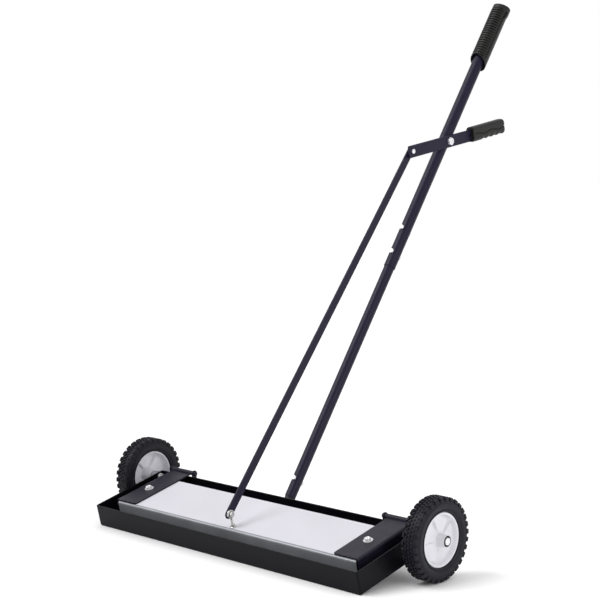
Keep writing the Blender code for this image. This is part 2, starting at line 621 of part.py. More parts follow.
def make_lever(body):
    axes = (LEVER_BACK, LEVER_UP, ALONG_X)
    half, middle = LEVER_HEIGHT / 2, Vector((LEVER_X, PIVOT.y, PIVOT.z))
    depth = (-LEVER_SHEET / 2, LEVER_SHEET / 2)
    round_off = 0.003
    outline = []
    corners = (
        (LEVER_REAR, half, 0),
        (LEVER_FRONT, half, 90),
        (LEVER_FRONT, -half, 180),
        (LEVER_REAR, -half, 270),
    )
    for a, b, start in corners:
        centre = (a - round_off * (1 if a > 0 else -1), b - round_off * (1 if b > 0 else -1))
        outline += arc(centre, round_off, start, start + 90, 2)
    lever = body.add("lift_lever", extruded(outline, axes, middle, depth), BLACK_STEEL)
    holes = (("pivot_hole", 0.0, LEVER_BOLT_RADIUS), ("rod_hole", ROD_JOINT, ROD_BOLT_RADIUS))
    for label, along, radius in holes:
        hole = rod(middle + LEVER_BACK * along, ALONG_X, -0.01, 0.01, radius + RUNNING_FIT)
        cut(lever, hole, body, label)
    near, far = LEVER_GRIP
    half, width = LEVER_GRIP_HEIGHT / 2, LEVER_GRIP_WIDTH / 2
    round_off = 0.009
    section = []
    for b, x, start in ((half, width, 0), (-half, width, 90), (-half, -width, 180), (half, -width, 270)):
        centre = (b - round_off * (1 if b > 0 else -1), x - round_off * (1 if x > 0 else -1))
        section += arc(centre, round_off, start, start + 90, 4)
    across = (LEVER_UP, ALONG_X, LEVER_BACK)
    raised = middle + LEVER_UP * LEVER_GRIP_RISE
    grip = body.add("lever_grip", extruded(section, across, raised, (near, far)), GRIP_RUBBER)
    half, width = LEVER_HEIGHT / 2 + GAP, LEVER_SHEET / 2 + GAP
    slot = ((-half, -width), (half, -width), (half, width), (-half, width))
    cut(grip, extruded(slot, across, middle, (near - 0.01, LEVER_REAR + GAP)), body, "lever_slot")
    outer = LEVER_X + LEVER_SHEET / 2 + GAP
    inner = rod_top_x() - ROD_SHEET / 2 - GAP
    behind_lever = LEVER_X - LEVER_SHEET / 2 - GAP
    profile = (
        (inner - 0.0022, 0.0022),
        (inner - 0.0014, 0.0046),
        (inner, 0.0050),
        (inner, ROD_BOLT_RADIUS),
        (behind_lever - RIVET_SHOULDER, ROD_BOLT_RADIUS),
        (behind_lever - RIVET_SHOULDER, 0.0062),
        (behind_lever, 0.0062),
        (behind_lever, ROD_BOLT_RADIUS),
        (outer, ROD_BOLT_RADIUS),
        (outer, 0.0060),
        (outer + 0.0018, 0.0054),
        (outer + 0.0030, 0.0026),
    )
    rivet = turned(profile, Vector((0, ROD_TOP.y, ROD_TOP.z)), ALONG_X, 16)
    body.add("rod_rivet", rivet, ZINC)


def rod_top_x():
    return LEVER_X - LEVER_SHEET / 2 - RIVET_SHOULDER - 2 * GAP - ROD_SHEET / 2


def rod_foot_x():
    return EYE_X - EYE_WIRE - GAP - ROD_SHEET / 2


def make_pull_rod(body):
    """A flat bar with round ends, set over sideways between the lever and the eyebolt."""
    foot = Vector((0, EYE_Y, EYE_Z))
    top = Vector((0, ROD_TOP.y, ROD_TOP.z))
    bolt = ROD_BOLT_RADIUS
    along = (top - foot).normalized()
    across = ALONG_X.cross(along)
    length = (top - foot).length
    half = ROD_WIDTH / 2
    tip = 0.0015
    round_end = []
    for step in range(7):
        angle = pi / 2 * step / 6
        round_end.append((ROD_END * cos(angle), max(half * sin(angle), tip)))
    stations = [(-beyond, reach) for beyond, reach in round_end]
    stations += [(length * step / 13, half) for step in range(1, 13)]
    stations += [(length + beyond, reach) for beyond, reach in reversed(round_end)]
    mesh_data = bmesh.new()
    rings = []
    for distance, reach in stations:
        share = min(max(distance / length, 0.0), 1.0)
        blend = share * share * (3 - 2 * share)
        x = rod_foot_x() + (rod_top_x() - rod_foot_x()) * blend
        ring = []
        for a, b in ((-1, -1), (1, -1), (1, 1), (-1, 1)):
            place = foot + along * distance + across * (a * reach)
            ring.append(mesh_data.verts.new(place + ALONG_X * (x + b * ROD_SHEET / 2)))
        rings.append(ring)
    skin(mesh_data, rings)
    bar = body.add("pull_rod", mesh_data, BLACK_STEEL)
    for label, place in (("foot_hole", foot), ("top_hole", top)):
        cut(bar, rod(place, ALONG_X, -0.01, 0.03, bolt + RUNNING_FIT), body, label)
    inner = rod_foot_x() - ROD_SHEET / 2 - GAP
    outer = EYE_X + EYE_WIRE + GAP
    flats, height = ROD_NUT
    length = outer - inner + height + THREAD_LEFT
    hex_bolt(body, "rod_foot_bolt", foot + ALONG_X * outer, ALONG_X, *ROD_BOLT_HEAD, bolt, length)
    hex_nut(body, "rod_foot_nut", foot + ALONG_X * inner, -ALONG_X, flats, height, bolt + GAP)


def make_eyebolt(body):
    """A ring on a threaded stem through the cover, held by a flange nut above and a nut below."""
    mesh_data = bmesh.new()
    rings = []
    sides, around = 12, 24
    for step in range(around):
        turn = 2 * pi * step / around
        radial = Vector((0, cos(turn), sin(turn)))
        ring = []
        for corner in range(sides):
            angle = 2 * pi * corner / sides
            reach = radial * (EYE_RING + EYE_WIRE * cos(angle)) + ALONG_X * (EYE_WIRE * sin(angle))
            ring.append(mesh_data.verts.new(EYE + reach))
        rings.append(ring)
    skin(mesh_data, rings, closed_ring=True)
    eye = body.add("eyebolt", mesh_data, ZINC)
    join(eye, rod(EYE, -ALONG_Z, EYE_RING, EYE_Z + 0.005, EYE_WIRE, 16), body, "stem")
    base = Vector((EYE_X, EYE_Y, COVER_TOP + GAP))
    flats, upper, lower = EYE_NUTS
    hex_nut(body, "eyebolt_flange_nut", base, ALONG_Z, flats, upper, EYE_WIRE + GAP, flange=EYE_FLANGE)
    under = Vector((EYE_X, EYE_Y, COVER_TOP - COVER_SHEET - GAP - HOUSING_SHEET - GAP))
    hex_nut(body, "eyebolt_lock_nut", under, -ALONG_Z, flats, lower, EYE_WIRE + GAP)


def centre_over_origin(stand):
    """Slides the tipped object along Y until the middle of its floor box is over the origin."""
    bpy.context.view_layer.update()
    reach = []
    for piece in bpy.data.objects:
        if piece.type == "MESH" and not piece.hide_render:
            reach += [(piece.matrix_world @ vertex.co).y for vertex in piece.data.vertices]
    stand.empty.location.y = -(min(reach) + max(reach)) / 2


def main():
    clear_scene()
    stand = Body("stand", (0, 0, 0), None)
    stand.empty.rotation_euler = (resting_pitch(), 0, 0)
    stand.empty.location = (0, 0, TYRE_RADIUS)
    frame = Body("tray_and_handle", (0, 0, 0), stand)
    magnet = Body("magnet_lift", HINGE, stand)
    lever = Body("lever_pivot", PIVOT, stand)
    pull = Body("rod_pivot", ROD_TOP, lever)
    make_tray(frame)
    make_handle(frame)
    make_magnet(magnet)
    make_eyebolt(magnet)
    make_lever(lever)
    make_pull_rod(pull)
    for side, label in ((-1, "left"), (1, "right")):
        wheel = Body(f"wheel_{label}", (0, 0, 0), stand)
        make_hinge(frame, magnet, side, label)
        make_bracket(magnet, side, label)
        make_wheel(wheel, frame, side, label)
    centre_over_origin(stand)


main()
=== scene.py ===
"""The looks of the magnetic nail sweeper: finishes, and detailed tyres, hubs, grips and fasteners.

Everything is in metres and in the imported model's frame. The object is designed level and stands tipped
forward, so most pieces are built from the level directions that the frame gives: ALONG_X is the axle,
BACK points to the person who pushes, and UP is square to the tray's floor.
"""

import json
from math import asin, cos, pi, radians, sin, sqrt, tau

import bmesh
import bpy
from mathutils import Matrix, Vector


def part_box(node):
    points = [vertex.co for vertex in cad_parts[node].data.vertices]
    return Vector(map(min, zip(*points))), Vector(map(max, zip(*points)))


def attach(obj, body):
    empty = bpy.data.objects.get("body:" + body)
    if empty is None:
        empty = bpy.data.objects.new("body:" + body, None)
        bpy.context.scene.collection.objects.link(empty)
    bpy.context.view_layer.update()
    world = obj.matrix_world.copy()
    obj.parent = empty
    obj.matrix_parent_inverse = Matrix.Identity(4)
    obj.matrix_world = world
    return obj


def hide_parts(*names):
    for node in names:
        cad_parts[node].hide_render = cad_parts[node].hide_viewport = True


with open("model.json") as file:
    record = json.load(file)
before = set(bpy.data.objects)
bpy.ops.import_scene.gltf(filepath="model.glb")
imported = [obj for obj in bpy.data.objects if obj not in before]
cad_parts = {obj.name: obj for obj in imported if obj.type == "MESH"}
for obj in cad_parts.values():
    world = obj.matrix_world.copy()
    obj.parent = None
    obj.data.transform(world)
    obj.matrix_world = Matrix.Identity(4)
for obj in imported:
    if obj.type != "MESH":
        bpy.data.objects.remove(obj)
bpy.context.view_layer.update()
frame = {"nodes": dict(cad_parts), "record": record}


def middle(node):
    low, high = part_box(node)
    return (low + high) / 2


def reach(node, direction):
    """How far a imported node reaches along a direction, as (lowest, highest)."""
    along = [vertex.co.dot(direction) for vertex in frame["nodes"][node].data.vertices]
    return min(along), max(along)


MOUNTS = {mount["name"]: mount for mount in frame["record"]["mounts"]}
ALONG_X = Vector((1, 0, 0))
UP = -Vector(MOUNTS["tray_underside"]["axis"]).normalized()
BACK = UP.cross(ALONG_X)
AXLE = (middle("tyre_left") + middle("tyre_right")) / 2

HANDLE_UP = (middle("upper_tube") - middle("lower_tube")).normalized()
HANDLE_FRONT = ALONG_X.cross(HANDLE_UP)
LEVER_BACK = (middle("lever_grip") - middle("rod_rivet")).cross(ALONG_X).normalized()
LEVER_BACK = ALONG_X.cross(LEVER_BACK).normalized()
LEVER_UP = ALONG_X.cross(LEVER_BACK)

# Wheels
TYRE_RADIUS = 0.0887
TREAD_BASE = 0.0857
TREAD_PITCHES = 32
TYRE_HALF_WIDTH = 0.0205
BEAD_RADIUS = 0.0573
TYRE_STEPS = 128
TREAD_SINK = 0.0010  # how deep the blocks' feet are sunk in the tread's floor
SHOULDER_INNER = 0.0128  # from the tread's middle to the inner edge of a shoulder block
MOULDED_EDGE = 0.0005  # bevel on the tyres' and hubs' edges
HUB_FACETS = 5
FACET_STEPS = 16  # grid columns in one facet, and one more in the crease after it
FACET_MIDDLE = {"left": radians(26), "right": radians(150)}  # of one facet, from the back towards the top
FACET_SLOPE, FACET_TWIST = 0.20, radians(32)  # the slope leans from the radius by the twist
FACET_CENTRE = 0.030  # radius at which a facet stands at the web's own height
CREASE_HALF_WIDTH, CREASE_DEPTH = 0.0028, 0.0046
WEB_THICKNESS = 0.0032
WEB_HEIGHT = 0.0078  # outward from the tyre's middle
WEB_INNER, WEB_LEVEL, WEB_OUTER = 0.0165, 0.0456, 0.0486  # radii: boss, start of the level edge, rim
WEB_EDGE_DROP = 0.0018

# Grips
GRIP_RADIUS = 0.0222
GRIP_FLARE = 0.0250
GRIP_RIBS = 20
RIBS_FROM, RIBS_SPAN = 0.14, 0.785  # shares of the grip's length
RIB_DEPTH, GROOVE_DEPTH, SLOT_DEPTH = 0.0027, 0.0024, 0.0050
GRIP_SHORT = 0.0030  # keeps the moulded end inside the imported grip
END_CUT = 0.0026
TUBE_RADIUS = 0.0143
BORE_RADIUS = TUBE_RADIUS + 0.0004
FINGERS_FROM, FINGER_PITCH, FINGER_DEPTH = 0.26, 0.170, 0.0050  # the first two are shares of the length

# Metric threads (radius, pitch), and the clearance holes of their nuts
M6, M8, M10 = (0.0030, 0.0010), (0.0040, 0.00125), (0.0050, 0.0015)
M6_HOLE, M8_HOLE, M10_HOLE, EYE_HOLE = 0.0033, 0.0043, 0.0053, 0.0029
TUBE_BOLT_FLATS = 0.0105
CORNER_RATIO = 0.1547  # how much further a hexagon's corners reach than its flats
# The washer's raised edge is painted shade: near-black, it stands for the shade in the hub boss's cup round
# the axle bolt's head
WASHER_HOLE, WASHER_SHADE_LIP = 0.0054, 0.0064

# View
VIEW_AZIMUTH, VIEW_ELEVATION, VIEW_ROLL = radians(43.67), radians(5.34), radians(0.42)
VIEW_AIM_X, VIEW_AIM_Z = 0.0602, 0.5508
VIEW_DISTANCE, VIEW_LENS = 3.2986, 90.53
BRIGHT_SIDE = (-0.69, 0.72, 0.15)  # direction in which the room is palest
DIM_STRENGTH = 0.54


# ---------------------------------------------------------------- finishes


def node_tree(name):
    made = bpy.data.materials.new(name)
    made.use_nodes = True
    return made, made.node_tree.nodes, made.node_tree.links


def noise(nodes, links, coordinates, scale, detail=3.0, stretch=(1, 1, 1)):
    """A noise texture whose pattern is drawn out by stretch along X, Y and Z."""
    mapping = nodes.new("ShaderNodeMapping")
    mapping.inputs["Scale"].default_value = [scale / s for s in stretch]
    texture = nodes.new("ShaderNodeTexNoise")
    texture.inputs["Scale"].default_value = 1.0
    texture.inputs["Detail"].default_value = detail
    links.new(coordinates, mapping.inputs["Vector"])
    links.new(mapping.outputs["Vector"], texture.inputs["Vector"])
    return texture.outputs["Fac"]


def ramp(nodes, links, value, stops):
    """A colour ramp. Its stops are (position, grey or colour)."""
    made = nodes.new("ShaderNodeValToRGB")
    elements = made.color_ramp.elements
    while len(elements) < len(stops):
        elements.new(0.5)
    for element, (position, colour) in zip(elements, stops):
        element.position = position
        if not isinstance(colour, tuple):
            colour = (colour, colour, colour)
        element.color = (*colour, 1.0)
    links.new(value, made.inputs["Fac"])
    return made.outputs["Color"]


def shade(colour, share):
    return tuple(min(channel * share, 1.0) for channel in colour)


def finish(
    name,
    colour,
    rough,
    metallic=0.0,
    variation=0.12,
    patch=40.0,
    grain=1400.0,
    bump=0.1,
    depth=0.0002,
    stretch=(1, 1, 1),
    specular=0.5,
    wear=None,
):
    """A surface whose colour and gloss wander in patches, with a fine grain. Wear lightens small spots."""
    made, nodes, links = node_tree(name)
    shader = nodes["Principled BSDF"]
    coordinates = nodes.new("ShaderNodeTexCoord").outputs["Object"]
    patches = noise(nodes, links, coordinates, patch, 5.0)
    low, high = shade(colour, 1 - variation), shade(colour, 1 + variation)
    colours = ramp(nodes, links, patches, ((0.30, low), (0.72, high)))
    if wear:
        spots = noise(nodes, links, coordinates, 320.0, 8.0)
        mask = ramp(nodes, links, spots, ((0.68, 0.0), (0.76, 0.55)))
        mix = nodes.new("ShaderNodeMix")
        mix.data_type = "RGBA"
        links.new(mask, mix.inputs["Factor"])
        links.new(colours, mix.inputs["A"])
        mix.inputs["B"].default_value = (*wear, 1.0)
        colours = mix.outputs["Result"]
    links.new(colours, shader.inputs["Base Color"])
    fine = noise(nodes, links, coordinates, grain, 4.0, stretch)
    glossy, matt = max(rough - 0.07, 0.05), min(rough + 0.09, 1.0)
    gloss = ramp(nodes, links, patches, ((0.25, glossy), (0.75, matt)))
    links.new(gloss, shader.inputs["Roughness"])
    bumps = nodes.new("ShaderNodeBump")
    bumps.inputs["Strength"].default_value = bump
    bumps.inputs["Distance"].default_value = depth
    links.new(fine, bumps.inputs["Height"])
    links.new(bumps.outputs["Normal"], shader.inputs["Normal"])
    shader.inputs["Metallic"].default_value = metallic
    shader.inputs["Specular IOR Level"].default_value = specular
    return made


BRUSHED = (60, 1, 1)  # draws the grain out along X

FINISHES = {
    "tube": finish(
        "tube_powder_coat",
        (0.011, 0.009, 0.025),
        0.40,
        grain=1100,
        bump=0.25,
        specular=0.18,
        wear=(0.04, 0.04, 0.06),
    ),
    "plate": finish(
        "plate_powder_coat",
        (0.013, 0.011, 0.021),
        0.40,
        grain=1000,
        bump=0.28,
        specular=0.22,
        wear=(0.06, 0.06, 0.07),
    ),
    "tray": finish(
        "tray_paint",
        (0.004, 0.004, 0.006),
        0.34,
        variation=0.2,
        grain=700,
        bump=0.12,
        specular=0.1,
        wear=(0.02, 0.02, 0.02),
    ),
    "aluminium": finish(
        "brushed_aluminium",
        (0.36, 0.37, 0.40),
        0.38,
        metallic=0.40,
        patch=12,
        grain=1500,
        bump=0.5,
        depth=0.0001,
        stretch=BRUSHED,
    ),
    "cover": finish(
        "satin_cover_sheet",
        (0.58, 0.57, 0.62),
        0.46,
        variation=0.03,
        patch=9,
        grain=1300,
        bump=0.25,
        depth=0.00008,
        stretch=BRUSHED,
    ),
    "steel": finish("mill_steel", (0.33, 0.33, 0.35), 0.45, 1.0, 0.15, 30, 900, 0.2),
    # Near-black and dull: painted shade on the axle washers, standing for the shade in the hub boss's cup
    # round the bolt heads
    "black": finish("washer_painted_recess_shade", (0.004, 0.004, 0.005), 0.50, 0.0, 0.2, 90, 900, 0.1, specular=0.1),
    "ferrite": finish("ferrite", (0.045, 0.045, 0.050), 0.62, 0.0, 0.2, 60, 500, 0.4),
    "zinc": finish("zinc_plate", (0.78, 0.78, 0.80), 0.34, 0.55, 0.08, 260, 1600, 0.12, 0.00006),
    "wire": finish("bright_wire", (0.52, 0.52, 0.51), 0.28, 0.95, 0.10, 200, 1600, 0.12, 0.00006),
    "sleeve": finish("turned_steel", (0.55, 0.55, 0.57), 0.30, 1.0, 0.10, 200, 1500, 0.2, 0.00006),
    "white": finish("white_plastic", (0.70, 0.69, 0.73), 0.36, 0.0, 0.03, 60, 500, 0.12, 0.0001),
    "tyre": finish(
        "tyre_rubber",
        (0.007, 0.007, 0.012),
        0.46,
        variation=0.25,
        patch=90,
        grain=900,
        bump=0.30,
        specular=0.22,
        wear=(0.03, 0.03, 0.04),
    ),
    "grip": finish(
        "grip_rubber", (0.009, 0.009, 0.0085), 0.46, 0.0, 0.18, 120, 1300, 0.22, specular=0.3
    ),
}

NODE_FINISHES = (
    ("tray_hinge_lug", "plate"),
    ("tray", "tray"),
    ("magnet_housing", "aluminium"),
    ("magnet_cover", "cover"),
    ("backing_plate", "steel"),
    ("ferrite_magnet", "ferrite"),
    ("lower_tube", "tube"),
    ("upper_tube", "tube"),
    ("pull_rod", "tube"),
    ("lift_lever", "tube"),
    ("end_bracket", "plate"),
    ("hinge_barrel", "plate"),
    ("hinge_pin", "plate"),
    ("handle_socket", "plate"),
    ("axle_spacer", "sleeve"),
    ("axle_washer", "tray"),
    ("axle_sleeve", "sleeve"),
    ("wheel_hub", "white"),
    ("tyre", "tyre"),
    ("handle_grip", "grip"),
    ("lever_grip", "grip"),
)


def dress_node(name, node):
    """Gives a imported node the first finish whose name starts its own. The fasteners are left with zinc."""
    found = next((kind for start, kind in NODE_FINISHES if name.startswith(start)), "zinc")
    node.data.materials.clear()
    node.data.materials.append(FINISHES[found])


# ---------------------------------------------------------------- mesh helpers


def piece(name, mesh_data, kind, body, stands_for=(), sharp=40.0, bevel=0.0):
    """Turns a bmesh into a piece that rides on a body, with its finish and modifiers."""
    bmesh.ops.recalc_face_normals(mesh_data, faces=mesh_data.faces)
    mesh = bpy.data.meshes.new(name)
    mesh_data.to_mesh(mesh)
    mesh_data.free()
    mesh.shade_smooth()
    mesh.materials.append(FINISHES[kind])
    made = bpy.data.objects.new(name, mesh)
    bpy.context.scene.collection.objects.link(made)
    if bevel:
        rounding = made.modifiers.new("rounding", "BEVEL")
        rounding.width = bevel
        rounding.segments = 2
        rounding.limit_method = "ANGLE"
        rounding.angle_limit = radians(sharp)
        rounding.harden_normals = True
    else:
        mesh.set_sharp_from_angle(angle=radians(sharp))
    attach(made, body)
    if stands_for:
        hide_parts(*stands_for)
    return made


def bridge(mesh_data, low, high):
    """Faces between two rings of vertices of equal count."""
    count = len(low)
    for i in range(count):
        j = (i + 1) % count
        mesh_data.faces.new((low[i], low[j], high[j], high[i]))


def lathe(mesh_data, place, profile, steps):
    """Turns a closed profile. place(along, radius, angle) gives a point."""
    rings = []
    for along, radius in profile:
        spots = [place(along, radius, tau * i / steps) for i in range(steps)]
        rings.append([mesh_data.verts.new(spot) for spot in spots])
    for low, high in zip(rings, rings[1:]):
        bridge(mesh_data, low, high)
    bridge(mesh_data, rings[-1], rings[0])


def round_axis(start, direction):
    """place(along, radius, angle) for a shape turned about a line."""
    first = ALONG_X if abs(direction.x) < 0.5 else BACK
    second = direction.cross(first)

    def place(along, radius, angle):
        return start + direction * along + first * (radius * cos(angle)) + second * (radius * sin(angle))

    return place


# ---------------------------------------------------------------- wheels


def wheel_place(side):
    """place(outward, radius, angle) about the axle. Angle 0 is at the back, and a quarter turn at the top."""
    centre = middle(f"tyre_{side_name(side)}")

    def place(outward, radius, angle):
        return centre + Vector((side * outward, radius * cos(angle), radius * sin(angle)))

    return place


def side_name(side):
    return "right" if side > 0 else "left"


def tyre_casing(mesh_data, place):
    """The sidewalls with their moulded rings, and the tread's floor."""
    half = TYRE_HALF_WIDTH
    outer = [
        (half - 0.0060, BEAD_RADIUS),
        (half - 0.0030, BEAD_RADIUS + 0.0004),
        (half - 0.0016, BEAD_RADIUS + 0.0022),
        (half - 0.0014, BEAD_RADIUS + 0.0040),
        (half - 0.0030, BEAD_RADIUS + 0.0050),
        (half - 0.0020, BEAD_RADIUS + 0.0062),
        (half - 0.0006, BEAD_RADIUS + 0.0100),
        (half - 0.0002, BEAD_RADIUS + 0.0140),
        (half - 0.0003, BEAD_RADIUS + 0.0186),
        (half - 0.0014, BEAD_RADIUS + 0.0192),
        (half - 0.0009, BEAD_RADIUS + 0.0206),
        (half - 0.0022, TREAD_BASE - 0.0044),
        (half - 0.0042, TREAD_BASE - 0.0016),
        (half - 0.0078, TREAD_BASE),
    ]
    profile = outer + [(-outward, radius) for outward, radius in reversed(outer)]
    lathe(mesh_data, place, profile, TYRE_STEPS)


def prism(mesh_data, low, high):
    """A closed shape between two outlines of equal count."""
    low = [mesh_data.verts.new(point) for point in low]
    high = [mesh_data.verts.new(point) for point in high]
    bridge(mesh_data, low, high)
    mesh_data.faces.new(low)
    mesh_data.faces.new(high)


def block_row(mesh_data, place, count, turn, corners, length, taper):
    """Blocks round the tread. A corner is (across the tread, radius, lean as a share of the pitch)."""
    pitch = tau / count
    for number in range(count):
        ends = []
        for end in (-0.5, 0.5):
            points = []
            for x, radius, lean in corners:
                reach_out = end * length * (taper if radius > TREAD_BASE else 1.0)
                points.append(place(x, radius, turn + pitch * (number + reach_out + lean)))
            ends.append(points)
        prism(mesh_data, *ends)


def tread(mesh_data, place):
    """Shoulder blocks on both sides, half a pitch apart, and three staggered rows of small slanted blocks."""
    pitch = tau / TREAD_PITCHES
    sunk, top, far = TREAD_BASE - TREAD_SINK, TYRE_RADIUS, TYRE_HALF_WIDTH
    for row in (-1, 1):
        shoulder = (
            (row * SHOULDER_INNER, sunk, -0.06),
            (row * (far - 0.0030), sunk - 0.0052, 0.02),
            (row * (far - 0.0004), sunk - 0.0046, 0.02),
            (row * (far - 0.0014), top - 0.0026, 0.02),
            (row * (far - 0.0040), top - 0.0002, 0.0),
            (row * SHOULDER_INNER, top, -0.06),
        )
        block_row(mesh_data, place, TREAD_PITCHES, pitch * 0.25 * row, shoulder, 0.66, 0.86)
    for middle_x, half, shift in ((-0.0082, 0.0033, 0.0), (0.0, 0.0034, 0.5), (0.0082, 0.0033, 0.0)):
        lean = 0.16 if middle_x >= 0 else -0.16
        lozenge = (
            (middle_x - half, sunk, -lean),
            (middle_x + half, sunk, lean),
            (middle_x + half * 0.82, top - 0.0002, lean * 0.8),
            (middle_x - half * 0.82, top - 0.0002, -lean * 0.8),
        )
        block_row(mesh_data, place, TREAD_PITCHES * 2, pitch / 2 * shift, lozenge, 0.60, 0.80)


def hub(name, side, place):
    """A moulded wheel centre: a rim, a closed web of sloping facets with creases between, a cupped boss."""
    mesh_data = bmesh.new()
    fifth = tau / HUB_FACETS
    columns = HUB_FACETS * (FACET_STEPS + 1)
    web_radii = (WEB_INNER, 0.0200, 0.0240, 0.0300, 0.0360, 0.0420, WEB_LEVEL, 0.0476, WEB_OUTER)

    def turn_in_facet(column, radius):
        """The angle of a column from its facet's middle. The last column is the bottom of the crease."""
        step = column % (FACET_STEPS + 1)
        if step == FACET_STEPS:
            return fifth / 2
        half = fifth / 2 - asin(CREASE_HALF_WIDTH / radius)
        return half * (2 * step / (FACET_STEPS - 1) - 1)

    def turn_of(column, radius):
        facet = column // (FACET_STEPS + 1)
        return FACET_MIDDLE[name] + fifth * facet + turn_in_facet(column, radius)

    def web_height(column, radius):
        """Each facet is a plane that falls towards the rim and to one side, and levels out at the rim."""
        turn = turn_in_facet(column, radius)
        along, across = radius * cos(turn) - FACET_CENTRE, side * radius * sin(turn)
        creased = column % (FACET_STEPS + 1) == FACET_STEPS
        if creased:
            across = 0.0
        level = smooth_step(radius, WEB_LEVEL, WEB_OUTER)
        fall = FACET_SLOPE * (cos(FACET_TWIST) * along - sin(FACET_TWIST) * across)
        height = WEB_HEIGHT - fall * (1 - level) - WEB_EDGE_DROP * level
        if creased:
            starts, ends = smooth_step(radius, WEB_INNER, 0.0230), smooth_step(radius, 0.0430, 0.0480)
            height -= CREASE_DEPTH * starts * (1 - ends)
        return height

    def ring_at(radius, heights, section_radius=None):
        ring = []
        for column in range(columns):
            turn = turn_of(column, section_radius or radius)
            ring.append(mesh_data.verts.new(place(heights(column), radius, turn)))
        return ring

    def web_rings(sunk):
        return [ring_at(radius, lambda column: web_height(column, radius) - sunk) for radius in web_radii]

    outer, inner = web_rings(0.0), web_rings(WEB_THICKNESS)
    boss = (
        (-0.0010, 0.0146),
        (-0.0185, 0.0131),
        (-0.0203, 0.0126),
        (-0.0204, 0.0082),
        (-0.0190, 0.0078),
        (0.0226, 0.0078),
        (0.0228, 0.0113),
        (0.0300, 0.0114),
        (0.0309, 0.0117),
        (0.0309, 0.0124),
        (0.0300, 0.0130),
        (0.0140, 0.0136),
        (0.0116, 0.0146),
    )
    rim = (
        (0.0084, 0.0500),
        (0.0128, 0.0512),
        (0.0150, 0.0522),
        (0.0161, 0.0534),
        (0.0163, 0.0550),
        (0.0158, 0.0565),
        (0.0145, 0.0571),
        (-0.0140, 0.0571),
        (-0.0152, 0.0562),
        (-0.0154, 0.0544),
        (-0.0144, 0.0534),
        (-0.0080, 0.0524),
        (0.0010, 0.0502),
    )
    rings = inner[::-1]
    rings += [ring_at(radius, lambda column: along, WEB_INNER) for along, radius in boss]
    rings += outer
    rings += [ring_at(radius, lambda column: along, WEB_OUTER) for along, radius in rim]
    for low, high in zip(rings, rings[1:] + rings[:1]):
        bridge(mesh_data, low, high)
    body = f"wheel_{name}_body"
    packed = (f"wheel_hub_{name}",)
    piece(f"moulded_hub_{name}", mesh_data, "white", body, packed, 30, MOULDED_EDGE)


def wheel(side):
    name = side_name(side)
    place = wheel_place(side)
    mesh_data = bmesh.new()
    tyre_casing(mesh_data, place)
    tread(mesh_data, place)
    body = f"wheel_{name}_body"
    packed = (f"tyre_{name}",)
    piece(f"block_tread_tyre_{name}", mesh_data, "tyre", body, packed, 32, MOULDED_EDGE)
    hub(name, side, place)


# ---------------------------------------------------------------- grips


def angle_gap(angle, centre):
    """How far apart two angles are, from 0 to half a turn."""
    return abs((angle - centre + pi) % tau - pi)


def smooth_step(value, low, high):
    share = min(max((value - low) / (high - low), 0.0), 1.0)
    return share * share * (3 - 2 * share)


